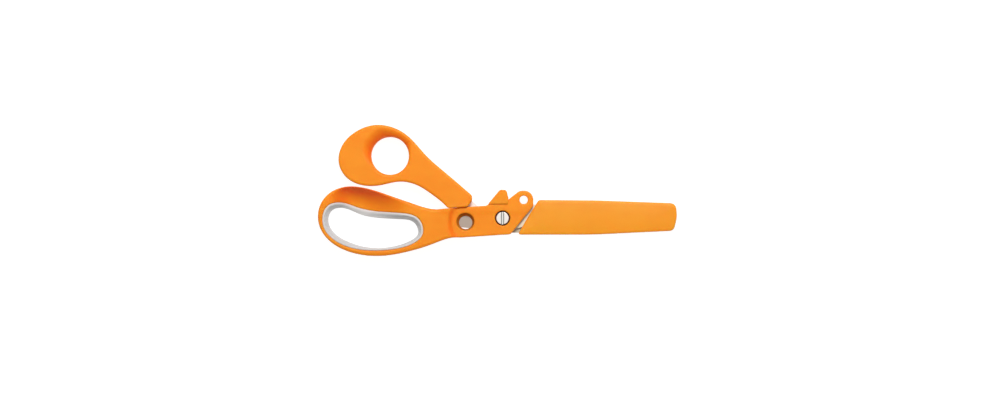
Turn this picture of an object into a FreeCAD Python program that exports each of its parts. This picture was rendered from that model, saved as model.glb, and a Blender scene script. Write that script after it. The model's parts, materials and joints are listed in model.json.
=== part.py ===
import FreeCAD, Part
import math
import os
import Sketcher
from FreeCAD import Vector

# Fabric shears with a moulded sheath over the blades, lying flat.
#
# Frame: the origin is on the blade pivot's axis, on the plane that the shears
# lie on. +X runs along the closed blades to their tips, +Y towards the thumb
# handle and +Z up, out of the face that carries the pivot screw's head.
# Millimetres throughout.

os.makedirs("parts", exist_ok=True)
doc = FreeCAD.newDocument("fabric_shears")

# ------------------------------------------------------------------ dimensions
DIMENSIONS = {
    # heights of the layers, counted from the plane that the shears lie on
    "ground": 0.0,
    "nut_top": 2.0,
    "wave_washer_top": 2.35,
    "thumb_blade_low": 2.4,
    "thumb_blade_top": 4.4,
    "blade_washer_low": 4.45,
    "finger_blade_low": 4.7,
    "finger_blade_top": 6.7,
    "head_washer_top": 7.9,
    "screw_head_top": 10.4,
    "plate_top": 11.0,
    "handle_top": 13.0,
    # blade pivot
    "screw_radius": 2.5,
    "screw_head_radius": 4.2,
    "screw_head_round": 0.3,
    "screw_slot_width": 1.6,
    "screw_slot_low": 9.2,
    "screw_tip_low": 0.8,
    "bush_radius": 3.5,
    "bush_clearance": 0.05,
    "washer_radius": 6.0,
    "head_washer_radius": 4.95,
    "head_recess_radius": 5.05,
    "nut_radius": 6.0,
    "nut_round": 0.5,
    # finger handle
    "window_x": -24.8,
    "window_y": -2.4,
    "window_radius": 5.8,
    "eyelet_x": 14.1,
    "eyelet_y": 12.2,
    "eyelet_radius": 2.8,
    "handle_round": 1.6,
    "liner_low": 0.6,
    "liner_top": 12.6,
    # thumb handle
    "thumb_hole_x": -75.0,
    "thumb_hole_y": 41.5,
    "thumb_hole_radius": 12.6,
    "thumb_hole_round": 2.0,
    # blades
    "blade_bevel_width": 2.2,
    "blade_bevel_depth": 1.4,
    # blade lock
    "lever_x": -8.0,
    "lever_y": 6.5,
    "lever_swing": 12.0,
    "lever_top": 7.6,
    "lever_tab_low": 11.1,
    "lever_tab_top": 12.0,
    "lever_round": 0.5,
    "lever_pocket_top": 7.9,
    "lever_eye_radius": 2.7,
    "lever_pin_radius": 1.5,
    "lever_pin_head_radius": 2.1,
    "lever_pin_head_top": 5.3,
    "lever_pin_top": 10.0,
    "lever_clearance": 0.05,
    "lever_peg_radius": 1.3,
    "lever_peg_low": 2.7,
    "notch_radius": 1.7,
    "blade_open_angle": 45.0,
    # sheath
    "sheath_top": 9.1,
    "sheath_cavity_low": 2.0,
    "sheath_cavity_top": 7.1,
    "sheath_rib_low": 6.8,
    "sheath_round": 1.2,
}

sheet = doc.addObject("Spreadsheet::Sheet", "dims")
sheet.Label = "driving dimensions"
for row, (alias, value) in enumerate(DIMENSIONS.items(), 1):
    sheet.set(f"A{row}", alias)
    sheet.set(f"B{row}", str(value))
    sheet.setAlias(f"B{row}", alias)
doc.recompute()


def size(alias):
    """A driving dimension's value, for geometry that a formula places."""
    return float(sheet.get(alias))


def cell(expression):
    """The same expression with each alias written as a cell of the sheet."""
    return " ".join(f"<<driving dimensions>>.{word}" if word in DIMENSIONS else word
                    for word in expression.split())


# -------------------------------------------------------------- plane geometry
def at(x, y):
    return Vector(x, y, 0)


def polar(radius, degrees, centre=(0, 0)):
    angle = math.radians(degrees)
    return at(centre[0] + radius * math.cos(angle), centre[1] + radius * math.sin(angle))


def turned(point, degrees, centre=(0, 0)):
    """A point turned counter-clockwise about a centre."""
    angle = math.radians(degrees)
    dx, dy = point[0] - centre[0], point[1] - centre[1]
    return (centre[0] + dx * math.cos(angle) - dy * math.sin(angle),
            centre[1] + dx * math.sin(angle) + dy * math.cos(angle))


def spline(points, closed=False):
    curve = Part.BSplineCurve()
    curve.interpolate(Points=[at(*point) for point in points], PeriodicFlag=closed)
    return curve


def arc(centre, radius, start, end):
    """Counter-clockwise arc between two angles in degrees."""
    circle = Part.Circle(at(*centre), Vector(0, 0, 1), radius)
    return Part.ArcOfCircle(circle, math.radians(start), math.radians(end))


def run(corners):
    """Straight runs through (x, y, radius) corners, each rounded to its radius."""
    pieces, last = [], at(*corners[0][:2])
    for before, corner, after in zip(corners, corners[1:], corners[2:]):
        here, radius = at(*corner[:2]), corner[2]
        if radius:
            back = (at(*before[:2]) - here).normalize()
            ahead = (at(*after[:2]) - here).normalize()
            half = back.getAngle(ahead) / 2
            reach = radius / math.tan(half)
            middle = (back + ahead).normalize() * (radius / math.sin(half) - radius)
            first, final = here + back * reach, here + ahead * reach
            pieces += [Part.LineSegment(last, first), Part.Arc(first, here + middle, final)]
            last = final
        else:
            pieces.append(Part.LineSegment(last, here))
            last = here
    pieces.append(Part.LineSegment(last, at(*corners[-1][:2])))
    return pieces


def closed_run(corners):
    """A closed outline of rounded corners, started half way along its first side."""
    first, second = corners[0], corners[1]
    start = ((first[0] + second[0]) / 2, (first[1] + second[1]) / 2, 0)
    return run([start] + corners[1:] + [first, start])


def slot(start, end, radius):
    """A slot with round ends about two points."""
    direction = math.degrees(math.atan2(end[1] - start[1], end[0] - start[0]))
    corners = [polar(radius, direction + turn, centre)
               for centre, turn in ((start, -90), (end, -90), (end, 90), (start, 90))]
    return [Part.LineSegment(corners[0], corners[1]),
            arc(end, radius, direction - 90, direction + 90),
            Part.LineSegment(corners[2], corners[3]),
            arc(start, radius, direction + 90, direction + 270)]


# ------------------------------------------------------------- document helpers
SUB_PARTS = []


def new_body(node):
    body = doc.addObject("PartDesign::Body", node)
    body.Label = node
    SUB_PARTS.append(body)
    return body


def draw(body, name, geometry, height):
    """A sketch on the body's own XY plane, raised to a height of the sheet."""
    sketch = body.newObject("Sketcher::SketchObject", name)
    plane = next(f for f in body.Origin.OriginFeatures if f.Role == "XY_Plane")
    sketch.AttachmentSupport = (plane, [""])
    sketch.MapMode = "FlatFace"
    sketch.setExpression("AttachmentOffset.Base.z", cell(height))
    sketch.addGeometry(geometry, False)
    return sketch


def draw_circle(body, name, place, radius, height):
    """A sketch of one circle whose centre and radius are bound to the sheet."""
    x, y = (size(alias) if alias in DIMENSIONS else 0.0 for alias in place)
    start_radius = sum(size(word) for word in radius.split() if word in DIMENSIONS)
    sketch = draw(body, name, [Part.Circle(at(x, y), Vector(0, 0, 1), start_radius)], height)
    sketch.addConstraint(Sketcher.Constraint("Radius", 0, start_radius))
    sketch.setExpression("Constraints[0]", cell(radius))
    if place[0] in DIMENSIONS:
        sketch.addConstraint(Sketcher.Constraint("DistanceX", -1, 1, 0, 3, x))
        sketch.addConstraint(Sketcher.Constraint("DistanceY", -1, 1, 0, 3, y))
        sketch.setExpression("Constraints[1]", cell(place[0]))
        sketch.setExpression("Constraints[2]", cell(place[1]))
    else:
        sketch.addConstraint(Sketcher.Constraint("Coincident", 0, 3, -1, 1))
    return sketch


def raise_solid(body, name, sketch, low, top):
    """Pad a sketch that lies at the low height up to the top height."""
    pad = body.newObject("PartDesign::Pad", name)
    pad.Profile = sketch
    pad.setExpression("Length", cell(f"{top} - {low}"))
    doc.recompute()
    return pad


def cut_down(body, name, sketch, top, low):
    """Pocket a sketch that lies at the top height down to the low height."""
    before = body.Shape.Volume
    pocket = body.newObject("PartDesign::Pocket", name)
    pocket.Profile = sketch
    pocket.setExpression("Length", cell(f"{top} - {low}"))
    doc.recompute()
    if body.Shape.Volume > before - 0.001:
        raise RuntimeError(f"{body.Label}: {name} removes nothing")
    return pocket


def pad_outline(body, name, outline, low, top):
    return raise_solid(body, name, draw(body, name + "_sketch", outline, low), low, top)


def pocket_outline(body, name, outline, top, low):
    return cut_down(body, name, draw(body, name + "_sketch", outline, top), top, low)


def pad_disc(body, name, place, radius, low, top):
    sketch = draw_circle(body, name + "_sketch", place, radius, low)
    return raise_solid(body, name, sketch, low, top)


def pocket_disc(body, name, place, radius, top, low):
    sketch = draw_circle(body, name + "_sketch", place, radius, top)
    return cut_down(body, name, sketch, top, low)


def edges_where(feature, wanted):
    return [f"Edge{i}" for i, edge in enumerate(feature.Shape.Edges, 1) if wanted(edge)]


def level(edge, height):
    """Whether the whole edge lies at one height."""
    box = edge.BoundBox
    return abs(box.ZMin - height) < 0.01 and abs(box.ZMax - height) < 0.01


def rim(place, radius, *heights):
    """Picks the round edges of a hole or a disc at the heights."""
    x, y = (size(alias) if alias in DIMENSIONS else 0.0 for alias in place)

    def wanted(edge):
        box = edge.BoundBox
        return any(level(edge, size(height)) for height in heights) \
            and math.hypot(box.Center.x - x, box.Center.y - y) < 0.1 \
            and abs(box.XLength - 2 * size(radius)) < 0.1
    return wanted


def at_heights(*heights):
    """Picks the edges that lie at one of the heights."""
    return lambda edge: any(level(edge, size(height)) for height in heights)


def round_edges(body, name, wanted, radius):
    base = body.Tip
    names = edges_where(base, wanted)
    if not names:
        raise RuntimeError(f"{body.Label}: {name} finds no edge")
    fillet = body.newObject("PartDesign::Fillet", name)
    fillet.Base = (base, names)
    fillet.setExpression("Radius", cell(radius))
    doc.recompute()
    return fillet


PIVOT = ("centre", "centre")
WINDOW = ("window_x", "window_y")
EYELET = ("eyelet_x", "eyelet_y")
THUMB_HOLE = ("thumb_hole_x", "thumb_hole_y")
LEVER_PIN = ("lever_x", "lever_y")

window_centre = (size("window_x"), size("window_y"))
lever_centre = (size("lever_x"), size("lever_y"))

# ------------------------------------------------------- outlines that are shared
# The finger blade lies above the thumb blade. It runs from its tang, inside the
# finger handle, past a small hub that clears the lock lever, to the tip.
FINGER_HUB_RADIUS = 7.0
FINGER_TIP = (110.2, -1.4)
FINGER_EDGE_HEEL = (25.0, -3.3)


def finger_blade_outline():
    hub_start, hub_end = 45.0, 152.0
    spine_end = (22.0, 9.2)
    spine = Part.Arc(at(*FINGER_TIP), at(72.0, 6.2), at(*spine_end))
    shoulder = run([spine_end + (0,), (11.0, 8.4, 4.0), tuple(polar(FINGER_HUB_RADIUS, hub_start))[:2] + (0,)])
    hub = arc((0, 0), FINGER_HUB_RADIUS, hub_start, hub_end)
    tang = run([tuple(polar(FINGER_HUB_RADIUS, hub_end))[:2] + (0,), (-13.0, 3.3, 3.0),
                (-18.0, 4.4, 3.0), (-46.0, 4.4, 2.0), (-46.0, -4.1, 2.0),
                (-9.0, -8.1, 12.0), (10.0, -6.6, 10.0), FINGER_EDGE_HEEL + (20.0,), FINGER_TIP + (0,)])
    return [spine] + shoulder + [hub] + tang


# The thumb blade lies below. Its round hub carries two notches for the lock's peg.
THUMB_HUB_RADIUS = 11.0
THUMB_TIP = (109.6, -2.2)
THUMB_EDGE_HEEL = (17.0, 2.4)


def thumb_blade_outline():
    hub_start, hub_end = 25.0, 164.0
    spine_end = (14.0, -9.8)
    hub = arc((0, 0), THUMB_HUB_RADIUS, hub_start, hub_end)
    tang = run([tuple(polar(THUMB_HUB_RADIUS, hub_end))[:2] + (0,), (-49.9, 36.4, 2.5),
                (-56.2, 28.7, 2.5), (-10.5, -9.6, 5.0), spine_end + (0,)])
    spine = Part.Arc(at(*spine_end), at(70.0, -7.2), at(*THUMB_TIP))
    edge = run([THUMB_TIP + (0,), THUMB_EDGE_HEEL + (3.0,), tuple(polar(THUMB_HUB_RADIUS, hub_start))[:2] + (0,)])
    return [hub] + tang + [spine] + edge


# ------------------------------------------------------------------ finger handle
# A long bow, a thick shank and a flat front plate with the lug for a lanyard.
FINGER_TOP_EDGE = ((-40.0, 6.3), (-11.0, 8.3))


def finger_handle_outline():
    bow = spline([FINGER_TOP_EDGE[0], (-46.5, 6.1), (-58.2, 9.2), (-75.3, 15.1), (-92.6, 20.3),
                  (-104.6, 21.0), (-115.6, 16.6), (-122.3, 6.9), (-122.1, -5.1), (-115.6, -14.9),
                  (-99.8, -23.2), (-81.8, -25.3), (-64.0, -22.6), (-46.5, -17.3), (-35.2, -13.4),
                  (-28.0, -13.0)])
    plate = run([(-28.0, -13.0, 0), (0.5, -11.1, 20.0), (5.2, -10.9, 2.0), (20.5, 8.2, 1.5),
                 (20.5, 18.3, 6.0), (11.4, 18.3, 4.6), (4.2, 12.7, 0.8), (0.5, 9.7, 2.0),
                 (-8.5, 9.5, 2.0), FINGER_TOP_EDGE[1] + (1.5,), FINGER_TOP_EDGE[0] + (0,)])
    return [bow] + plate


def liner_outline():
    return [spline([(-53.0, -7.3), (-57.4, 0.7), (-68.5, 3.4), (-83.9, 4.5), (-97.0, 7.1),
                    (-108.5, 10.4), (-116.5, 8.0), (-119.9, 0.5), (-117.9, -8.5), (-109.5, -16.2),
                    (-97.0, -20.6), (-83.2, -21.5), (-68.0, -19.8), (-57.0, -15.3)], closed=True)]


def finger_hole_outline():
    return [spline([(-56.3, -8.3), (-60.6, -2.0), (-68.5, -0.7), (-82.8, 0.1), (-95.5, 2.6),
                    (-107.5, 6.8), (-113.5, 5.3), (-116.2, -0.5), (-113.2, -8.9), (-104.5, -15.1),
                    (-95.0, -18.5), (-84.0, -20.0), (-70.0, -18.2), (-60.1, -14.2)], closed=True)]


def finger_handle():
    body = new_body("finger_handle")
    pad_outline(body, "casting", finger_handle_outline(), "ground", "handle_top")
    round_edges(body, "outer_rounding", at_heights("ground", "handle_top"), "handle_round")
    # the front plate is lower than the shank, behind a round step about the window
    step_radius, step_reach = 10.5, 30.0
    step_start, step_end = 105, 250
    step_top = polar(step_radius, step_start, window_centre)
    step_low = polar(step_radius, step_end, window_centre)
    front = run([tuple(step_low)[:2] + (0,), (step_low.x, -step_reach, 0), (step_reach, -step_reach, 0),
                 (step_reach, step_reach, 0), (step_top.x, step_reach, 0), tuple(step_top)[:2] + (0,)])
    step = [arc(window_centre, step_radius, step_start, step_end)] + front
    pocket_outline(body, "front_step", step, "handle_top", "plate_top")
    # below the plate the thumb blade's hub and tang swing freely
    relief = closed_run([(-36.0, -step_reach, 0), (step_reach, -step_reach, 0),
                         (step_reach, step_reach, 0), (-36.0, step_reach, 0)])
    pocket_outline(body, "blade_relief", relief, "finger_blade_low", "ground")
    pocket_outline(body, "blade_seat", finger_blade_outline(), "finger_blade_top", "finger_blade_low")
    pocket_outline(body, "lever_pocket", lever_pocket_outline(), "lever_pocket_top", "finger_blade_low")
    pocket_disc(body, "lever_pin_hole", LEVER_PIN, "lever_pin_radius", "lever_pin_top", "lever_pocket_top")
    pocket_outline(body, "finger_bow", liner_outline(), "handle_top", "ground")
    pocket_disc(body, "window", WINDOW, "window_radius", "plate_top", "finger_blade_low")
    pocket_disc(body, "eyelet", EYELET, "eyelet_radius", "plate_top", "finger_blade_low")
    pocket_disc(body, "head_recess", PIVOT, "head_recess_radius", "plate_top", "finger_blade_top")


def finger_grip_liner():
    body = new_body("finger_grip_liner")
    pad_outline(body, "ring", liner_outline(), "liner_low", "liner_top")
    pocket_outline(body, "finger_hole", finger_hole_outline(), "liner_top", "liner_low")


# ------------------------------------------------------------------- thumb handle
THUMB_GAP = 0.15


def thumb_handle_outline():
    (x1, y1), (x2, y2) = FINGER_TOP_EDGE
    slope = (y2 - y1) / (x2 - x1)

    def on_rest(x):
        """A point on the line where the handle closes against the finger handle."""
        return (x, y1 + THUMB_GAP + slope * (x - x1))

    bow = spline([on_rest(-36.2), (-42.5, 12.4), (-47.3, 16.0), (-57.6, 22.2), (-69.5, 24.3),
                  (-81.3, 22.0), (-93.3, 21.9), (-104.0, 27.1), (-109.2, 37.6), (-106.4, 49.2),
                  (-97.8, 57.6), (-86.6, 61.9), (-74.7, 61.0), (-64.0, 55.5), (-51.6, 42.4),
                  (-38.1, 30.3), (-24.4, 18.6)])
    end = run([(-24.4, 18.6, 0), (-20.3, 15.1, 2.2), (-20.3, 11.8, 1.2), on_rest(-23.6) + (1.7,),
               on_rest(-36.2) + (0,)])
    return [bow] + end


def thumb_handle():
    body = new_body("thumb_handle")
    pad_outline(body, "casting", thumb_handle_outline(), "ground", "handle_top")
    round_edges(body, "outer_rounding", at_heights("ground", "handle_top"), "handle_round")
    pocket_outline(body, "blade_seat", thumb_blade_outline(), "thumb_blade_top", "thumb_blade_low")
    pocket_disc(body, "thumb_hole", THUMB_HOLE, "thumb_hole_radius", "handle_top", "ground")
    round_edges(body, "thumb_hole_rounding",
                rim(THUMB_HOLE, "thumb_hole_radius", "ground", "handle_top"), "thumb_hole_round")


# -------------------------------------------------------------------------- blades
def grind(body, heel, tip, face, outward, inward):
    """A long flat bevel from heel to tip. The face is the height it is ground into,
    outward is +1 for an upper face and -1 for a lower one, and inward is +1 where the
    steel lies on the edge's +Y side and -1 where it lies on the other."""
    margin = 0.5
    width, depth = size("blade_bevel_width"), size("blade_bevel_depth")
    slope, level_z = depth / width, size(face)
    wedge = [(-margin * inward, level_z + margin * outward),
             (-margin * inward, level_z - (depth + margin * slope) * outward),
             ((width + margin / slope) * inward, level_z + margin * outward)]
    sketch = body.newObject("Sketcher::SketchObject", "bevel_sketch")
    plane = next(f for f in body.Origin.OriginFeatures if f.Role == "YZ_Plane")
    sketch.AttachmentSupport = (plane, [""])
    sketch.MapMode = "FlatFace"
    yaw = math.degrees(math.atan2(tip[1] - heel[1], tip[0] - heel[0]))
    sketch.AttachmentOffset = FreeCAD.Placement(Vector(heel[1], 0, heel[0]),
                                                FreeCAD.Rotation(Vector(0, 1, 0), yaw))
    sketch.addGeometry(closed_run([point + (0,) for point in wedge]), False)
    before = body.Shape.Volume
    bevel = body.newObject("PartDesign::Pocket", "bevel")
    bevel.Profile = sketch
    bevel.Length = math.dist(heel, tip) + 5
    bevel.Reversed = True
    doc.recompute()
    if body.Shape.Volume > before - 10:
        raise RuntimeError(f"{body.Label}: the bevel misses the blade")


def finger_blade():
    body = new_body("finger_blade")
    pad_outline(body, "blank", finger_blade_outline(), "finger_blade_low", "finger_blade_top")
    pocket_disc(body, "pivot_hole", PIVOT, "bush_radius", "finger_blade_top", "finger_blade_low")
    grind(body, FINGER_EDGE_HEEL, FINGER_TIP, "finger_blade_top", outward=1, inward=1)


def notch_places():
    """Where the peg sits in the hub when the lever is locked, closed and open."""
    locked = turned(LEVER_PEG, -size("lever_swing"), lever_centre)
    return [(locked, LEVER_PEG),
            (turned(locked, size("blade_open_angle")), turned(LEVER_PEG, size("blade_open_angle")))]


def thumb_blade():
    body = new_body("thumb_blade")
    pad_outline(body, "blank", thumb_blade_outline(), "thumb_blade_low", "thumb_blade_top")
    pocket_disc(body, "pivot_hole", PIVOT, "bush_radius + bush_clearance",
                "thumb_blade_top", "thumb_blade_low")
    for index, (inner, outer) in enumerate(notch_places(), 1):
        pocket_outline(body, f"lock_notch_{index}", slot(inner, outer, size("notch_radius")),
                       "thumb_blade_top", "thumb_blade_low")
    grind(body, THUMB_EDGE_HEEL, THUMB_TIP, "thumb_blade_low", outward=-1, inward=-1)


# ---------------------------------------------------------------------- blade pivot
def pivot_screw():
    body = new_body("pivot_screw")
    pad_disc(body, "shank", PIVOT, "screw_radius", "screw_tip_low", "head_washer_top")
    pad_disc(body, "head", PIVOT, "screw_head_radius", "head_washer_top", "screw_head_top")
    half, reach = size("screw_slot_width") / 2, size("screw_head_radius") + 1
    slot_outline = closed_run([(-half, -reach, 0), (half, -reach, 0), (half, reach, 0), (-half, reach, 0)])
    pocket_outline(body, "driver_slot", slot_outline, "screw_head_top", "screw_slot_low")
    round_edges(body, "head_rounding", at_heights("screw_head_top"), "screw_head_round")


def pivot_nut():
    body = new_body("pivot_nut")
    pad_disc(body, "cap", PIVOT, "nut_radius", "ground", "nut_top")
    round_edges(body, "cap_rounding", rim(PIVOT, "nut_radius", "ground"), "nut_round")
    pocket_disc(body, "thread", PIVOT, "screw_radius", "nut_top", "screw_tip_low")


def ring(node, inner, outer, low, top, place=PIVOT):
    body = new_body(node)
    pad_disc(body, "disc", place, outer, low, top)
    pocket_disc(body, "bore", place, inner, top, low)


# ----------------------------------------------------------------------- blade lock
LEVER_PEG = (0.5, 12.6)
HUB_CLEARANCE = 0.5


def lever_outline():
    """A thumb tab: an eye about the pin, a straight back and a rounded peak."""
    return closed_run([(-11.3, 3.9, 2.7), (-10.9, 7.8, 1.0), (-1.6, 18.5, 1.9), (2.4, 18.2, 2.0),
                       (4.0, 13.6, 1.5), (3.4, 8.9, 1.0), (-4.5, 3.9, 1.0)])


def lever_pocket_outline():
    inner = FINGER_HUB_RADIUS + 0.3
    start, end = polar(inner, 40), polar(inner, 155)
    right, left, far = 6.5, -11.9, 24.0
    outside = run([tuple(end)[:2] + (0,), (left, end.y, 0), (left, far, 0), (right, far, 0),
                   (right, start.y, 0), tuple(start)[:2] + (0,)])
    return [arc((0, 0), inner, 40, 155)] + outside


def lock_lever():
    body = new_body("lock_lever")
    pad_outline(body, "plate", lever_outline(), "finger_blade_low", "lever_top")
    # the lower edge clears the finger blade's hub, both unlocked and locked
    swing = size("lever_swing")
    for index, centre in enumerate([(0.0, 0.0), turned((0.0, 0.0), swing, lever_centre)], 1):
        clear = [Part.Circle(at(*centre), Vector(0, 0, 1), FINGER_HUB_RADIUS + HUB_CLEARANCE)]
        pocket_outline(body, f"hub_clearance_{index}", clear, "lever_top", "finger_blade_low")
    # outside the front plate a neck, clear of the plate when locked, carries the thumb tab,
    # which lies over the plate's edge and slides across the plate
    neck = closed_run([(-8.9, 9.95, 0.5), (-0.7, 11.9, 0.8), (1.7, 15.5, 0.8), (2.0, 18.0, 1.7),
                       (-1.7, 18.2, 1.6)])
    pad_outline(body, "tab_neck", neck, "lever_top", "lever_tab_low")
    tab = closed_run([(-9.8, 9.3, 0.5), (3.6, 9.5, 0.7), (3.9, 13.0, 1.0), (2.7, 18.8, 2.3),
                      (-1.7, 19.0, 2.3)])
    pad_outline(body, "thumb_tab", tab, "lever_tab_low", "lever_tab_top")
    round_edges(body, "tab_rounding", at_heights("lever_tab_top"), "lever_round")
    pocket_disc(body, "pin_bore", LEVER_PIN, "lever_pin_radius + lever_clearance",
                "lever_top", "finger_blade_low")
    pocket_disc(body, "pin_head_seat", LEVER_PIN, "lever_pin_head_radius + lever_clearance",
                "lever_pin_head_top + lever_clearance", "finger_blade_low")
    peg = [Part.Circle(at(*LEVER_PEG), Vector(0, 0, 1), size("lever_peg_radius"))]
    pad_outline(body, "peg", peg, "lever_peg_low", "finger_blade_low")


def lock_pin():
    body = new_body("lock_pin")
    pad_disc(body, "shank", LEVER_PIN, "lever_pin_radius", "finger_blade_low", "lever_pin_top")
    pad_disc(body, "head", LEVER_PIN, "lever_pin_head_radius", "finger_blade_low", "lever_pin_head_top")


# --------------------------------------------------------------------------- sheath
# A slim case over both blades, closed along the back and round the tips and open
# along its lower edge, so that it presses on from that side or slides on endways.
SHEATH_MOUTH = ((24.2, 12.1), (17.2, 1.4), (10.0, -11.1))


def sheath():
    body = new_body("sheath")
    mouth_top, mouth_middle, mouth_low = SHEATH_MOUTH
    outline = closed_run([(60.0, -11.1, 400.0), (114.2, -8.5, 3.5), (116.6, 0.8, 20.0), (115.6, 9.9, 4.0),
                          (62.5, 11.8, 400.0), mouth_top + (1.0,), mouth_middle + (60.0,),
                          mouth_low + (1.0,)])
    pad_outline(body, "case", outline, "ground", "sheath_top")
    round_edges(body, "outer_rounding", at_heights("ground", "sheath_top"), "sheath_round")
    # the cavity runs out of the mouth and out of the lower edge
    cavity = run([(113.4, -20.0, 0), (113.4, 7.9, 3.0), (62.5, 9.8, 0), (0.0, 10.3, 0),
                  (0.0, -20.0, 0), (113.4, -20.0, 0)])
    pocket_outline(body, "blade_space", cavity, "sheath_cavity_top", "sheath_cavity_low")
    # two ribs under the upper wall press on the finger blade's flat and hold the sheath on
    for index, y in enumerate((0.5, 4.5), 1):
        rib = slot((34.0, y), (74.0, y), 0.6)
        pad_outline(body, f"grip_rib_{index}", rib, "sheath_rib_low", "sheath_cavity_top")


finger_handle()
finger_grip_liner()
thumb_handle()
finger_blade()
thumb_blade()
pivot_screw()
pivot_nut()
ring("pivot_bush", "screw_radius", "bush_radius", "wave_washer_top", "finger_blade_top")
ring("pivot_head_washer", "screw_radius", "head_washer_radius", "finger_blade_top", "head_washer_top")
ring("blade_washer", "bush_radius", "washer_radius", "blade_washer_low", "finger_blade_low")
ring("pivot_wave_washer", "screw_radius", "washer_radius", "nut_top", "wave_washer_top")
lock_lever()
lock_pin()
ring("lock_wave_washer", "lever_pin_radius", "lever_eye_radius", "lever_top", "lever_pocket_top", LEVER_PIN)
sheath()

# ------------------------------------------------------------------ check and write
doc.recompute()
for item in doc.Objects:
    if {"Invalid", "Error"} & set(item.State):
        raise RuntimeError(f"{item.Label} did not build: {item.State}")
for body in SUB_PARTS:
    shape = body.Shape
    if shape.isNull() or not shape.isValid() or not shape.Solids:
        raise RuntimeError(f"{body.Label} is not a valid solid")
    shape.exportStep(f"parts/{body.Label}.step")
    box = shape.BoundBox
    print(f"{body.Label:20s} solids {len(shape.Solids)}  volume {shape.Volume:9.2f} mm3  "
          f"x {box.XMin:7.2f} {box.XMax:7.2f}  y {box.YMin:7.2f} {box.YMax:7.2f}  "
          f"z {box.ZMin:6.2f} {box.ZMax:6.2f}")
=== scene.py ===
import json
import math

import bmesh
import bpy
import numpy as np
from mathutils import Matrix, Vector


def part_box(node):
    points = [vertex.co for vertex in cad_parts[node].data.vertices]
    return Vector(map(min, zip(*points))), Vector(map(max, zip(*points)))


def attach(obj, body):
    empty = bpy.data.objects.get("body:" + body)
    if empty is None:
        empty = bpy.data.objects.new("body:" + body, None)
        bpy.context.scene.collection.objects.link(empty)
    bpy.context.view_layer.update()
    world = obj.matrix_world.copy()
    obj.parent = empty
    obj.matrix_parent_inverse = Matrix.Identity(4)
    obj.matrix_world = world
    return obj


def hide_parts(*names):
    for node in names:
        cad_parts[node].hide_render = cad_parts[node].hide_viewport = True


# Fabric shears in their sheath on a pale table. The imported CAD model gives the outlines
# and the main heights. The moulded pieces are rebuilt here as smooth closed meshes from
# those outlines, with the soft roundings of the real mouldings. The lock lever, the
# washers and the metal pieces keep their CAD shape. Outlines and heights are worked in millimetres.

MM = 0.001

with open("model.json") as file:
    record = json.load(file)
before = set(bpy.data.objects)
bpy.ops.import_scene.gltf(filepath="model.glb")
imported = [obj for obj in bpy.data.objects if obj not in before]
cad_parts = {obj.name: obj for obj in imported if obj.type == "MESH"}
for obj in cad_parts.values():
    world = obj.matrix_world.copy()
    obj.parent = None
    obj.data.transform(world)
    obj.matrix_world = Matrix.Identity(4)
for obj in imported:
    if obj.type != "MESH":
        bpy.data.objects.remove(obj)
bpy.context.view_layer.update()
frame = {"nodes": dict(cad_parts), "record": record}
nodes = frame["nodes"]


# ------------------------------------------------------- outlines from the CAD model
def section_loops(node, height):
    """The closed outlines of a node cut at a height, largest first, in millimetres."""
    cut = bmesh.new()
    cut.from_mesh(nodes[node].data)
    bmesh.ops.remove_doubles(cut, verts=cut.verts, dist=1e-6)
    found = bmesh.ops.bisect_plane(cut, geom=cut.verts[:] + cut.edges[:] + cut.faces[:],
                                   plane_co=(0, 0, height * MM), plane_no=(0, 0, 1))
    edges = [item for item in found["geom_cut"] if isinstance(item, bmesh.types.BMEdge)]
    neighbours = {}
    for edge in edges:
        a, b = edge.verts
        neighbours.setdefault(a, []).append(b)
        neighbours.setdefault(b, []).append(a)
    loops, seen = [], set()
    for start in neighbours:
        if start in seen:
            continue
        loop, here = [start], start
        seen.add(start)
        while True:
            onward = [vert for vert in neighbours[here] if vert not in seen]
            if not onward:
                break
            here = onward[0]
            seen.add(here)
            loop.append(here)
        if len(loop) > 2:
            loops.append(np.array([(v.co.x, v.co.y) for v in loop]) / MM)
    cut.free()
    return sorted(loops, key=lambda loop: -abs(area(loop)))


def area(loop):
    x, y = loop[:, 0], loop[:, 1]
    return 0.5 * float(np.sum(x * np.roll(y, -1) - np.roll(x, -1) * y))


def middle(loop):
    return (loop.min(0) + loop.max(0)) / 2


def half_width(loop):
    return (loop.max(0) - loop.min(0)).mean() / 2


# -------------------------------------------------------------- distance and meshing
STEP = 0.45            # spacing of the grid that the moulded pieces are meshed on
MARGIN = 4             # empty cells kept around a piece
SOFTEN = 1.1           # blur of a distance field, in cells, which evens out facets


def blur(field, sigma):
    reach = int(math.ceil(3 * sigma))
    taps = np.exp(-0.5 * (np.arange(-reach, reach + 1) / sigma) ** 2)
    taps /= taps.sum()
    for axis in (0, 1):
        padded = np.pad(field, [(reach, reach) if a == axis else (0, 0) for a in (0, 1)], mode="edge")
        field = sum(tap * np.take(padded, range(i, i + field.shape[axis]), axis=axis)
                    for i, tap in enumerate(taps))
    return field


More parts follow.
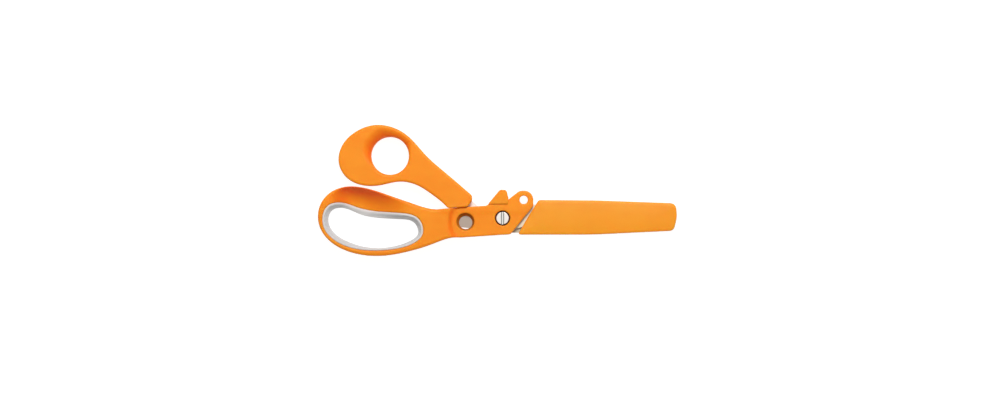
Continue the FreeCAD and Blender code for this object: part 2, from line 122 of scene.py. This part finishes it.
class Grid:
    """A regular grid of points around a node, with plane fields measured on it."""

    def __init__(self, node, step=STEP):
        low, high = (np.array(corner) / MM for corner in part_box(node))
        self.step = step
        counts = np.ceil((high - low) / step).astype(int) + 2 * MARGIN + 1
        self.start = (low + high) / 2 - (counts - 1) * step / 2
        self.x, self.y, self.z = (self.start[i] + step * np.arange(counts[i]) for i in range(3))
        self.px, self.py = np.meshgrid(self.x, self.y, indexing="ij")
        self.high = self.z[None, None, :]

    def distance(self, loops, soften=SOFTEN):
        """Signed distance to a set of outlines, negative inside them, by even-odd parity."""
        points = np.stack([self.px.ravel(), self.py.ravel()], 1)
        nearest = np.full(len(points), np.inf)
        inside = np.zeros(len(points), bool)
        for loop in loops:
            for (ax, ay), (bx, by) in zip(loop, np.roll(loop, -1, axis=0)):
                dx, dy = bx - ax, by - ay
                length2 = dx * dx + dy * dy
                if length2 < 1e-12:
                    continue
                rx, ry = points[:, 0] - ax, points[:, 1] - ay
                t = np.clip((rx * dx + ry * dy) / length2, 0, 1)
                nearest = np.minimum(nearest, (rx - t * dx) ** 2 + (ry - t * dy) ** 2)
                if dy:
                    crosses = (ay > points[:, 1]) != (by > points[:, 1])
                    inside ^= crosses & (points[:, 0] < ax + (points[:, 1] - ay) * dx / dy)
        signed = np.sqrt(nearest) * np.where(inside, -1, 1)
        signed = signed.reshape(self.px.shape)
        return blur(signed, soften) if soften else signed

    def disc(self, centre, radius):
        return np.hypot(self.px - centre[0], self.py - centre[1]) - radius


def smooth(low, high, value):
    t = np.clip((value - low) / (high - low), 0, 1)
    return t * t * (3 - 2 * t)


def softened_solid(grid, depths, top, bottom, power=2.0):
    """Field of a solid between two height maps, negative inside.

    depths holds (depth, side, rise) plane fields: how deep a point lies inside one
    boundary, how wide the rounding along that boundary is, and how high it is."""
    mid, half = (top + bottom) / 2, (top - bottom) / 2
    rise = depths[0][2]
    for _, _, other in depths[1:]:
        rise = np.minimum(rise, other)
    across = None
    for depth, side, _ in depths:
        term = (side - depth) / side
        across = term if across is None else np.maximum(across, term)
    upward = (np.abs(grid.high - mid[:, :, None]) - (half - rise)[:, :, None]) / rise[:, :, None]
    across = np.maximum(across, 0)[:, :, None]
    upward = np.maximum(upward, 0)
    field = (across ** power + upward ** power) ** (1 / power) - 1
    scale = np.minimum.reduce([side for _, side, _ in depths] + [rise])
    return field * scale[:, :, None]


def even(field, step):
    """The field over its slope, which makes it close to a true distance."""
    slope = np.sqrt(sum(g * g for g in np.gradient(field, step)))
    return field / np.maximum(slope, 0.35)


CUBE = [(0, 0, 0), (1, 0, 0), (0, 1, 0), (1, 1, 0), (0, 0, 1), (1, 0, 1), (0, 1, 1), (1, 1, 1)]


def surface(grid, field):
    """Vertices and quads of the field's zero surface, one vertex to a crossed cell."""
    field = np.where(np.abs(field) < 1e-9, 1e-9, field)
    shape = np.array(field.shape) - 1
    total = np.zeros(tuple(shape) + (3,))
    count = np.zeros(tuple(shape))

    def corner(offset):
        return field[tuple(slice(o, o + n) for o, n in zip(offset, shape))]

    for first in range(8):
        for second in range(first + 1, 8):
            a, b = np.array(CUBE[first]), np.array(CUBE[second])
            if np.abs(a - b).sum() != 1:
                continue
            fa, fb = corner(a), corner(b)
            crossed = (fa < 0) != (fb < 0)
            t = np.where(crossed, fa / np.where(crossed, fa - fb, 1), 0)
            for axis in range(3):
                total[..., axis] += crossed * (a[axis] + t * (b[axis] - a[axis]))
            count += crossed
    active = count > 0
    number = np.full(tuple(shape), -1)
    number[active] = np.arange(int(active.sum()))
    cells = np.argwhere(active)
    vertices = grid.start + grid.step * (cells + total[active] / count[active][:, None])
    quads = []
    for axis in range(3):
        u, v = [(1, 2), (2, 0), (0, 1)][axis]
        low = [slice(None)] * 3
        high = [slice(None)] * 3
        low[axis], high[axis] = slice(0, -1), slice(1, None)
        fa, fb = field[tuple(low)], field[tuple(high)]
        for flip, mask in ((False, (fa < 0) & (fb >= 0)), (True, (fa >= 0) & (fb < 0))):
            place = np.argwhere(mask)
            place = place[(place[:, u] > 0) & (place[:, v] > 0)
                          & (place[:, u] < shape[u]) & (place[:, v] < shape[v])]
            ring = []
            for du, dv in ((1, 1), (0, 1), (0, 0), (1, 0)):
                cell = place.copy()
                cell[:, u] -= du
                cell[:, v] -= dv
                ring.append(number[cell[:, 0], cell[:, 1], cell[:, 2]])
            quad = np.stack(ring, 1)
            quads.append(quad[:, ::-1] if flip else quad)
    return vertices, np.concatenate(quads)


RELAX_STEPS = [0.5, -0.52]     # shares of the way to the neighbours' middle, there and back


def relax(vertices, quads, rounds):
    """Evens out a dense mesh by moving each vertex towards its neighbours and back."""
    ends = np.concatenate([np.stack([quads[:, i], quads[:, (i + 1) % 4]], 1) for i in range(4)])
    degree = np.bincount(ends[:, 0], minlength=len(vertices)) \
        + np.bincount(ends[:, 1], minlength=len(vertices))
    for step in RELAX_STEPS * rounds:
        total = np.stack([np.bincount(ends[:, 0], vertices[ends[:, 1], k], len(vertices))
                          + np.bincount(ends[:, 1], vertices[ends[:, 0], k], len(vertices))
                          for k in range(3)], 1)
        vertices = vertices + step * (total / degree[:, None] - vertices)
    return vertices


def piece(name, vertices, faces, smooth_angle=None):
    mesh = bpy.data.meshes.new(name)
    mesh.from_pydata((np.asarray(vertices) * MM).tolist(), [], np.asarray(faces).tolist())
    mesh.update()
    mesh.polygons.foreach_set("use_smooth", [True] * len(mesh.polygons))
    made = bpy.data.objects.new(name, mesh)
    bpy.context.scene.collection.objects.link(made)
    if smooth_angle:
        mesh.set_sharp_from_angle(angle=math.radians(smooth_angle))
    return made


def moulding(name, node, body, grid, field, rounds=3, top=None):
    """Meshes a field as the piece that stands for a node. top is its upper height map,
    whose slope is kept on the vertices as an attribute that the material paints shade by."""
    vertices, quads = surface(grid, even(field, grid.step))
    made = piece(name, relax(vertices, quads, rounds), quads)
    if top is not None:
        slope = blur(np.hypot(*np.gradient(top, grid.step)), 1.5)
        column = tuple(np.round((vertices[:, :2] - grid.start[:2]) / grid.step).astype(int).T)
        # the slope of the upper faces, which the materials turn into painted shade
        slope_shade = np.where(vertices[:, 2] > top[column] / 2, slope[column], 0)
        made.data.attributes.new("slope_shade", "FLOAT", "POINT").data.foreach_set("value", slope_shade)
    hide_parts(node)
    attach(made, body)
    return made


# ------------------------------------------------------------------ driving heights
GROUND = 0.0
BLADE_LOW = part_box("finger_blade")[0].z / MM
BLADE_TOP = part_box("finger_blade")[1].z / MM
LEVER_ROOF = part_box("lock_wave_washer")[1].z / MM
HANDLE_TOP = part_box("finger_handle")[1].z / MM
EYELET = next(mount for mount in frame["record"]["mounts"] if mount["name"] == "lanyard_eyelet")
PLATE_TOP = BLADE_LOW + EYELET["dims"]["length_mm"]
SHEATH_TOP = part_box("sheath")[1].z / MM
SHEATH_LOW, SHEATH_ROOF = 2.0, 7.1     # floor and roof of the sheath's cavity
PLATE_CUT = (PLATE_TOP + LEVER_ROOF) / 2 + 1.1     # a section of the plate above the pin's hole


# -------------------------------------------------------------------- finger handle
DISH = 9.0             # how far the bow's upper arm is dished at the liner
DISH_POWER = 2.3       # the larger, the more of that fall lies by the arm's outer edge
ARM_RIGHT, ARM_LEFT = (-60, -94), (-117, -98)    # where along X the dish fades in, from each end
ARM_FADE = (-8, 1)     # where it fades in across the arm, from a line of this slope
ARM_SLOPE, ARM_MIDDLE = 0.12, -90
STEP_FADE = (8.2, 12.2)    # the step's foot and top, measured from the window's middle
STEP_SQUASH = 0.74     # below 1, which makes the step's curve flatter than a circle
TAB_AIR = 0.12         # keeps the meshed plate clear of the thumb tab that swings over it
TOUCH_X = (-42, -37)   # the two handles meet from here to the plate when closed
TOUCH_RISE = (2.0, 5.0)     # where along Y that fades in on the finger handle
TOUCH_SWELL = 0.07     # what meshing takes off the faces that meet there
THINNEST = 1.2         # least width used where a wall's roundings are worked out
SHANK_ROUND, PLATE_ROUND, LIP_ROUND = 1.9, 0.9, 0.7
WINDOW_ROUND, RECESS_ROUND, EYELET_ROUND = 0.75, 0.3, 0.6
NO_FLOOR = -50.0       # below everything


def bow_arm(grid):
    """1 along the bow's upper arm, fading to 0 at both of its ends."""
    ends = smooth(*ARM_RIGHT, grid.px) * smooth(*ARM_LEFT, grid.px)
    return ends * smooth(*ARM_FADE, grid.py - ARM_SLOPE * (grid.px - ARM_MIDDLE))


def make_finger_handle():
    grid = Grid("finger_handle")
    upper = section_loops("finger_handle", PLATE_CUT)
    outline, bow, window, recess, eyelet = upper[:5]
    outer = -grid.distance([outline])
    hole = grid.distance([bow])
    wx, wy = middle(window)

    # the front plate is lower than the shank, behind a hollow step round the window
    from_window = np.hypot(grid.px - wx, (grid.py - wy) * STEP_SQUASH)
    front = 1 - smooth(*STEP_FADE, np.where(grid.px > wx, 0, from_window))
    top = HANDLE_TOP - (HANDLE_TOP - PLATE_TOP + TAB_AIR) * front
    bottom = np.full_like(top, GROUND)

    # the bow's upper arm is dished: it falls steeply from its outer edge and levels out
    # towards the liner
    width = np.maximum(outer + hole, THINNEST)
    arm = bow_arm(grid)
    top = top - DISH * arm * (1 - (1 - np.clip(outer / width, 0, 1)) ** DISH_POWER)

    # roundings: slight on the plate, generous on the shank, slight again where the handles
    # meet and on the dished arm
    side = SHANK_ROUND * (1 - front) + PLATE_ROUND * front
    contact = smooth(*TOUCH_X, grid.px) * smooth(*TOUCH_RISE, grid.py)
    side = np.clip(np.minimum(side * (1 - 0.7 * np.maximum(contact, arm)), 0.7 * width), 0.6, None)
    rise = np.minimum(np.minimum(side * 1.15, 3.4), 0.9 * (top - bottom) / 2)
    depths = [(outer, side, rise), (hole, np.full_like(side, LIP_ROUND), rise)]
    for loop, soft in ((window, WINDOW_ROUND), (recess, RECESS_ROUND), (eyelet, EYELET_ROUND)):
        depths.append((grid.disc(middle(loop), half_width(loop)), np.full_like(side, soft), rise))
    field = softened_solid(grid, depths, top, bottom, power=2.3)
    field = field - TOUCH_SWELL * contact[:, :, None]

    # open pockets below the plate, for the blades and the lever
    layers = [(NO_FLOOR, (GROUND + BLADE_LOW) / 2), (BLADE_LOW, (BLADE_LOW + BLADE_TOP) / 2),
              (BLADE_TOP, (BLADE_TOP + LEVER_ROOF) / 2), (LEVER_ROOF, None)]
    body = None
    for floor, height in layers:
        loops = upper if height is None else section_loops("finger_handle", height)
        plan = grid.distance(loops, soften=0.6)[:, :, None]
        layer = np.maximum(plan, floor - grid.high)
        body = layer if body is None else np.minimum(body, layer)
    return moulding("finger_handle_moulding", "finger_handle", "finger_half",
                    grid, np.maximum(field, body), top=top)


WALL_LEAN = 1.4        # how far the window's wall closes in towards the tang
WALL_SHIFT = (0.2, -0.5)    # where the middle of its foot lies, from the window's middle
WALL_LOW = BLADE_TOP + 0.03
WALL_HIGH = PLATE_TOP - 1.1
WALL_BURIED = 0.1      # how far its back reaches into the handle
WALL_SIDES = 120


def make_window_wall():
    """The tapered wall inside the window, from under its rounded rim down to the tang."""
    window = section_loops("finger_handle", PLATE_CUT)[2]
    radius = half_width(window)
    turns = np.linspace(0, 2 * math.pi, WALL_SIDES, endpoint=False)
    around = np.stack([np.cos(turns), np.sin(turns)], 1)
    back = middle(window) + (radius + WALL_BURIED) * around
    foot = middle(window) + WALL_SHIFT + (radius - WALL_LEAN) * around
    rings = [(back, WALL_LOW), (back, WALL_HIGH), (foot, WALL_LOW)]
    vertices = np.concatenate([np.column_stack([ring, np.full(WALL_SIDES, z)]) for ring, z in rings])
    here = np.arange(WALL_SIDES)
    onward = np.roll(here, -1)
    faces = []
    for first, second in ((0, 1), (1, 2), (2, 0)):
        a, b = first * WALL_SIDES, second * WALL_SIDES
        faces.append(np.stack([a + here, a + onward, b + onward, b + here], 1))
    made = piece("window_wall", vertices, np.concatenate(faces), smooth_angle=40)
    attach(made, "finger_half")
    return made


# --------------------------------------------------------------------- thumb handle
THUMB_CUT = 9.0        # a section above the slot for the tang
FUNNEL = 1.5           # width of the thumb hole's funnel where it is narrowest
SCOOP = 5.6            # how much wider it is on the side that the thumb slides in from
SCOOP_HEADING = math.radians(109)
SCOOP_FADE = (-0.25, 0.75)      # cosines of the turn from that side where the scoop fades in
FUNNEL_FALL, SCOOP_FALL = 0.3, 0.72    # its depth where narrowest, and more per mm of scoop
FUNNEL_POWER = 1.6
THUMB_ROUND, THROAT_ROUND = 1.5, 1.4
TOUCH_Y = (10.0, 7.8)  # how high the faces that meet reach, from a line of this slope
TOUCH_SLOPE, TOUCH_MIDDLE = 0.069, -30.0


def make_thumb_handle():
    grid = Grid("thumb_handle")
    seat_low, seat_top = (corner.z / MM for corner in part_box("thumb_blade"))
    outline, thumb_hole = section_loops("thumb_handle", THUMB_CUT)[:2]
    centre = middle(thumb_hole)
    outer = -grid.distance([outline])
    hole = grid.disc(centre, half_width(thumb_hole))
    top = np.full_like(outer, HANDLE_TOP)
    bottom = np.full_like(outer, GROUND)
    width = np.maximum(outer + hole, THINNEST)

    # a funnel leads into the hole, widest over its far upper side, where the thumb slides in
    around = np.arctan2(grid.py - centre[1], grid.px - centre[0])
    scoop = smooth(*SCOOP_FADE, np.cos(around - SCOOP_HEADING))
    wide = np.minimum(FUNNEL + SCOOP * scoop, 0.8 * width)
    fall = FUNNEL_FALL + SCOOP_FALL * np.maximum(wide - FUNNEL, 0)
    top = top - fall * np.clip(1 - np.maximum(hole, 0) / wide, 0, 1) ** FUNNEL_POWER

    from_line = grid.py - TOUCH_SLOPE * (grid.px - TOUCH_MIDDLE)
    contact = smooth(*TOUCH_Y, from_line) * smooth(*TOUCH_X, grid.px)
    side = np.clip(np.minimum(THUMB_ROUND, 0.25 * width) * (1 - 0.75 * contact), 0.5, None)
    throat = np.clip(np.minimum(THROAT_ROUND, 0.4 * width), 0.9, None)
    outer_part = softened_solid(grid, [(outer, side, side)], top, bottom, power=2.2)
    hole_part = softened_solid(grid, [(hole, throat, throat)], top, bottom)
    field = np.maximum(outer_part, hole_part) - TOUCH_SWELL * contact[:, :, None]

    # the slot that the thumb blade's tang sits in
    seat_middle, seat_half = (seat_low + seat_top) / 2, (seat_top - seat_low) / 2
    walls = grid.distance(section_loops("thumb_handle", seat_middle), soften=0.4)
    seat = np.maximum(-walls[:, :, None], np.abs(grid.high - seat_middle) - seat_half)
    return moulding("thumb_handle_moulding", "thumb_handle", "thumb_half",
                    grid, np.maximum(field, -seat), top=top)


# --------------------------------------------------------------------- finger liner
LINER_TOP, LINER_LOW = 12.9, 0.35
LINER_SWELL = 0.12     # presses the liner into the bow, so that no gap shows
LINER_LIP = 1.1        # width of its level lip
LINER_SLOPE = 1.7      # how steeply it falls from the lip to the opening
LINER_FALL = 4.8       # the most that it falls


def make_liner():
    grid = Grid("finger_grip_liner", step=0.35)
    outline, hole = section_loops("finger_grip_liner", 6.0)[:2]
    outer = -grid.distance([outline]) + LINER_SWELL
    inner = grid.distance([hole])
    width = np.maximum(outer + inner, 0.9)
    fall = smooth(0.0, 1.0, (outer - LINER_LIP) / np.maximum(width - LINER_LIP, 0.6))
    arm = bow_arm(grid)
    drop = np.minimum(LINER_SLOPE * np.maximum(width - LINER_LIP, 0), LINER_FALL * (1 - 0.8 * arm))
    top = LINER_TOP - DISH * arm - drop * fall
    bottom = LINER_LOW + drop * fall
    side = np.clip(0.45 * width, 0.4, 0.7)
    rise = np.full_like(side, 0.75)
    field = softened_solid(grid, [(outer, side, rise), (inner, side * 1.2, rise)], top, bottom)
    return moulding("finger_grip_liner_moulding", "finger_grip_liner", "finger_half",
                    grid, field, rounds=2, top=top)


# --------------------------------------------------------------------------- sheath
CROWN = 0.7            # how much lower the sheath's upper face is at its edges
CROWN_REACH = 10.0     # how far in from the edges that fall starts
SHEATH_ROUND = 1.2


def make_sheath():
    grid = Grid("sheath")
    outer = -grid.distance(section_loops("sheath", SHEATH_TOP - 1.5)[:1])
    # both faces are slightly crowned, the lower one less
    crown = CROWN * (1 - np.clip(outer / CROWN_REACH, 0, 1)) ** 2
    top, bottom = SHEATH_TOP - crown, GROUND + 0.6 * crown
    soft = np.full_like(outer, SHEATH_ROUND)
    field = softened_solid(grid, [(outer, soft, soft)], top, bottom, power=2.2)
    walls = grid.distance(section_loops("sheath", (BLADE_LOW + BLADE_TOP) / 2), soften=0.6)[:, :, None]
    cavity = np.maximum(-walls, np.abs(grid.high - (SHEATH_LOW + SHEATH_ROOF) / 2)
                        - (SHEATH_ROOF - SHEATH_LOW) / 2)
    return moulding("sheath_moulding", "sheath", "sheath", grid, np.maximum(field, -cavity))


# ------------------------------------------------------------------------ materials
def new_material(name):
    material = bpy.data.materials.new(name)
    material.use_nodes = True
    tree = material.node_tree
    tree.nodes.clear()
    out = tree.nodes.new("ShaderNodeOutputMaterial")
    shader = tree.nodes.new("ShaderNodeBsdfPrincipled")
    tree.links.new(shader.outputs[0], out.inputs["Surface"])
    return material, tree, shader


def add(tree, kind, **settings):
    node = tree.nodes.new(kind)
    for key, value in settings.items():
        if key in node.inputs:
            node.inputs[key].default_value = value
        else:
            setattr(node, key, value)
    return node


def object_coordinates(tree, scale=(1, 1, 1)):
    place = add(tree, "ShaderNodeTexCoord")
    mapping = add(tree, "ShaderNodeMapping")
    mapping.inputs["Scale"].default_value = scale
    tree.links.new(place.outputs["Object"], mapping.inputs["Vector"])
    return mapping.outputs[0]


def noise(tree, vector, scale, detail, roughness=0.5):
    made = add(tree, "ShaderNodeTexNoise", Scale=scale, Detail=detail, Roughness=roughness)
    tree.links.new(vector, made.inputs["Vector"])
    return made.outputs["Fac"]


def ramp(tree, factor, stops):
    made = add(tree, "ShaderNodeValToRGB")
    made.color_ramp.elements.remove(made.color_ramp.elements[0])
    for i, (position, colour) in enumerate(stops):
        element = made.color_ramp.elements[0] if i == 0 else made.color_ramp.elements.new(position)
        element.position = position
        element.color = (*colour, 1)
    tree.links.new(factor, made.inputs[0])
    return made.outputs[0]


def to_range(tree, factor, low, high):
    made = add(tree, "ShaderNodeMapRange")
    made.inputs["To Min"].default_value = low
    made.inputs["To Max"].default_value = high
    tree.links.new(factor, made.inputs["Value"])
    return made.outputs[0]


def bump(tree, height, strength, distance):
    made = add(tree, "ShaderNodeBump", Strength=strength, Distance=distance)
    tree.links.new(height, made.inputs["Height"])
    return made.outputs[0]


def multiplied(tree, first, second):
    made = add(tree, "ShaderNodeMix", data_type="RGBA", blend_type="MULTIPLY")
    made.inputs[0].default_value = 1.0
    tree.links.new(first, made.inputs[6])
    tree.links.new(second, made.inputs[7])
    return made.outputs[2]


# painted shade: what the colour is multiplied by on a slope, deeper and redder, from a level face to a
# slope of 1 in 1
SHADE_ON_SLOPES = [(0.0, (1, 1, 1)), (0.5, (1, 0.82, 0.9)), (1.0, (1, 0.45, 0.8))]


def moulded_plastic(name, dark, light, roughness=0.5, subsurface=0.4):
    """Satin moulded plastic: a fine spark-eroded grain, faint flow marks and painted shade,
    a deeper and redder colour on the slopes of its hollows."""
    material, tree, shader = new_material(name)
    place = object_coordinates(tree)
    flow = noise(tree, object_coordinates(tree, (1, 2.2, 1)), 38, 2.0)
    # painted shade: slopes are coloured deeper and redder
    slope_shade = add(tree, "ShaderNodeAttribute", attribute_name="slope_shade").outputs["Fac"]
    colour = multiplied(tree, ramp(tree, flow, [(0.35, dark), (0.65, light)]), ramp(tree, slope_shade, SHADE_ON_SLOPES))
    tree.links.new(colour, shader.inputs["Base Color"])
    fine = noise(tree, place, 2600, 2.0, 0.6)
    tree.links.new(to_range(tree, noise(tree, place, 900, 3.0), roughness - 0.05, roughness + 0.06),
                   shader.inputs["Roughness"])
    tree.links.new(bump(tree, fine, 0.35, 0.00004), shader.inputs["Normal"])
    shader.inputs["IOR"].default_value = 1.42
    shader.inputs["Subsurface Weight"].default_value = subsurface
    shader.inputs["Subsurface Radius"].default_value = (1.0, 0.25, 0.05)
    shader.inputs["Subsurface Scale"].default_value = 0.0035
    shader.inputs["Specular IOR Level"].default_value = 0.26
    return material


def brushed_metal(name, dark, light, direction, roughness, across=None, painted_light_tints=None):
    """Ground metal: fine scratches, longest along the smallest axis of direction.

    across makes the value, from 0 to 1, that the tints of painted shade and painted reflection are laid
    out by."""
    material, tree, shader = new_material(name)
    lines = noise(tree, object_coordinates(tree, direction), 1500, 4.0, 0.7)
    colour = ramp(tree, lines, [(0.3, dark), (0.7, light)])
    if painted_light_tints:
        colour = multiplied(tree, colour, ramp(tree, across(tree), painted_light_tints))
    tree.links.new(colour, shader.inputs["Base Color"])
    tree.links.new(to_range(tree, lines, roughness - 0.08, roughness + 0.1), shader.inputs["Roughness"])
    tree.links.new(bump(tree, lines, 0.12, 0.00002), shader.inputs["Normal"])
    shader.inputs["Metallic"].default_value = 1.0
    return material


def along_blade(tree):
    """0 at the tang's end of the blades to 1 where the grinding starts."""
    split = add(tree, "ShaderNodeSeparateXYZ")
    tree.links.new(object_coordinates(tree), split.inputs[0])
    made = add(tree, "ShaderNodeMapRange")
    made.inputs["From Min"].default_value = -0.02
    made.inputs["From Max"].default_value = 0.006
    tree.links.new(split.outputs["X"], made.inputs["Value"])
    return made.outputs[0]


def from_slot(tree):
    """Distance from the middle of the screw's slot, 0 to 1 over 2 mm."""
    split = add(tree, "ShaderNodeSeparateXYZ")
    tree.links.new(object_coordinates(tree, (500, 500, 500)), split.inputs[0])
    made = add(tree, "ShaderNodeMath", operation="ABSOLUTE")
    tree.links.new(split.outputs["X"], made.inputs[0])
    return made.outputs[0]


def soft_rubber(name, dark, light):
    """Soft-touch rubber with a fine matt skin, and painted shade, a little greyer, on its sloping wall.
    """
    material, tree, shader = new_material(name)
    place = object_coordinates(tree)
    mottle = ramp(tree, noise(tree, place, 120, 3.0), [(0.3, dark), (0.7, light)])
    slope_shade = add(tree, "ShaderNodeAttribute", attribute_name="slope_shade").outputs["Fac"]
    # painted shade on the liner's sloping inner wall
    wall_shade = ramp(tree, slope_shade, [(0.0, (1, 1, 1)), (1.0, (0.86, 0.88, 0.9))])
    tree.links.new(multiplied(tree, mottle, wall_shade), shader.inputs["Base Color"])
    tree.links.new(to_range(tree, noise(tree, place, 1500, 2.0), 0.55, 0.72), shader.inputs["Roughness"])
    tree.links.new(bump(tree, noise(tree, place, 3200, 2.0), 0.4, 0.00005), shader.inputs["Normal"])
    shader.inputs["Sheen Weight"].default_value = 0.25
    return material


ALONG_X = (3, 120, 3)
FACETED = (8, 60, 8)
# painted shade: the slot's edges are darkened, and its floor made a little darker and bluer, in the
# screw's colour
SLOT_EDGE_SHADE = (0.2, 0.22, 0.22)    # the dark line down each side of the screw's slot
orange = moulded_plastic("orange_moulding", (0.95, 0.275, 0.009), (0.985, 0.31, 0.012))
# a darker copy of the orange plastic: painted shade for the window's inner wall
shaded_orange = moulded_plastic("window_wall_painted_shade", (0.54, 0.15, 0.004), (0.6, 0.17, 0.005))
# a lighter copy of the orange plastic: painted light, making up for the weaker light that the sheath gets
brightened_sheath_orange = moulded_plastic("sheath_moulding", (0.97, 0.325, 0.016), (0.99, 0.355, 0.021), 0.46)
grip = soft_rubber("soft_grip_rubber", (0.68, 0.65, 0.625), (0.75, 0.72, 0.695))
# painted shade darkens the tang seen down the window, and a painted warm reflection of the orange plastic
# tints the blade towards the grinding
blade_metal = brushed_metal("ground_blade_steel", (0.86, 0.79, 0.70), (0.94, 0.87, 0.78),
                            ALONG_X, 0.4, across=along_blade,
                            painted_light_tints=[(0.0, (0.55, 0.49, 0.46)), (1.0, (0.92, 0.87, 0.74))])
# a second copy of the blade steel, kept light at the bare tang as painted light, with painted shade and a
# painted warm reflection towards the grinding, where it lies under the upper blade
lower_blade_metal = brushed_metal("lower_blade_steel", (0.80, 0.77, 0.73), (0.88, 0.85, 0.81),
                                  ALONG_X, 0.4, across=along_blade,
                                  painted_light_tints=[(0.2, (1, 1, 1)), (1.0, (0.72, 0.64, 0.5))])
bright_metal = brushed_metal("bright_plated_steel", (0.72, 0.70, 0.68), (0.84, 0.82, 0.8), FACETED, 0.45)
screw_metal = brushed_metal("polished_screw_steel", (0.84, 0.79, 0.73), (0.92, 0.87, 0.81),
                            FACETED, 0.42, across=from_slot,
                            painted_light_tints=[(0.2, (0.9, 0.95, 0.96)), (0.33, SLOT_EDGE_SHADE), (0.45, SLOT_EDGE_SHADE),
                                   (0.55, (1, 1, 1))])
spring_metal = brushed_metal("spring_steel", (0.3, 0.3, 0.31), (0.42, 0.42, 0.44), (30, 30, 30), 0.35)
# painted shade: the head washer is coloured dark brown for the shaded gap round the screw's head
shadow_brown = moulded_plastic("washer_shadow_brown", (0.07, 0.018, 0.004), (0.09, 0.024, 0.006), 0.45, subsurface=0.0)
natural = moulded_plastic("natural_acetal", (0.62, 0.6, 0.55), (0.7, 0.68, 0.63), 0.4)

CAD_LOOKS = {
    "lock_lever": orange,
    "finger_blade": blade_metal, "thumb_blade": lower_blade_metal,
    "pivot_screw": screw_metal, "pivot_nut": bright_metal, "pivot_bush": bright_metal,
    "lock_pin": bright_metal, "pivot_wave_washer": spring_metal, "lock_wave_washer": spring_metal,
    "pivot_head_washer": shadow_brown, "blade_washer": natural,
}
for node, look in CAD_LOOKS.items():
    nodes[node].data.materials.clear()
    nodes[node].data.materials.append(look)

make_finger_handle().data.materials.append(orange)
make_window_wall().data.materials.append(shaded_orange)
make_thumb_handle().data.materials.append(orange)
make_liner().data.materials.append(grip)
make_sheath().data.materials.append(brightened_sheath_orange)

# ----------------------------------------------------------------- floor and camera
# The sky is darkest at its foot, so that steep walls stay deeper in colour than level faces.
SKY = [(0.0, 0.12), (0.4, 0.26), (0.7, 0.34), (1.0, 0.34)]
KEY_PLACE = Vector((0.1, 0.71, 1.2))
KEY_WIDTH = 0.35
KEY_POWER = 15.8
FLOOR_REACH = 3.0
FLOOR_GLOW = 0.95      # the table is lit evenly, so that it stays white round the shears
CAMERA_PLACE = Vector((-0.0017, 0.0121, SHEATH_TOP * MM + 2.0))
CAMERA_LENS = 108.0


def make_floor():
    mesh = bpy.data.meshes.new("floor")
    corners = [(x * FLOOR_REACH, y * FLOOR_REACH, 0) for x, y in ((-1, -1), (1, -1), (1, 1), (-1, 1))]
    mesh.from_pydata(corners, [], [(0, 1, 2, 3)])
    floor = bpy.data.objects.new("floor", mesh)
    bpy.context.scene.collection.objects.link(floor)
    material, _, shader = new_material("pale_table")
    shader.inputs["Base Color"].default_value = (0.2, 0.2, 0.2, 1)
    shader.inputs["Roughness"].default_value = 1.0
    shader.inputs["Specular IOR Level"].default_value = 0.0
    shader.inputs["Emission Color"].default_value = (1, 1, 1, 1)
    shader.inputs["Emission Strength"].default_value = FLOOR_GLOW
    mesh.materials.append(material)


def make_key_light():
    data = bpy.data.lights.new("key", "AREA")
    data.shape = "SQUARE"
    data.size = KEY_WIDTH
    data.energy = KEY_POWER
    light = bpy.data.objects.new("key", data)
    light.location = KEY_PLACE
    light.rotation_euler = (-KEY_PLACE).to_track_quat("-Z", "Y").to_euler()
    bpy.context.scene.collection.objects.link(light)


def make_sky():
    world = bpy.data.worlds.new("studio")
    world.use_nodes = True
    tree = world.node_tree
    direction = add(tree, "ShaderNodeTexCoord")
    height = add(tree, "ShaderNodeSeparateXYZ")
    tree.links.new(direction.outputs["Generated"], height.inputs[0])
    sky = ramp(tree, height.outputs["Z"], [(level, (value,) * 3) for level, value in SKY])
    tree.links.new(sky, tree.nodes["Background"].inputs["Color"])
    bpy.context.scene.world = world


def make_camera():
    data = bpy.data.cameras.new("camera")
    data.type = "PERSP"
    data.sensor_width = 36.0
    data.lens = CAMERA_LENS
    data.clip_end = 20
    camera = bpy.data.objects.new("camera", data)
    camera.location = CAMERA_PLACE
    bpy.context.scene.collection.objects.link(camera)
    bpy.context.scene.camera = camera


make_floor()
make_sky()
make_key_light()
make_camera()
bpy.context.scene.view_settings.view_transform = "Standard"
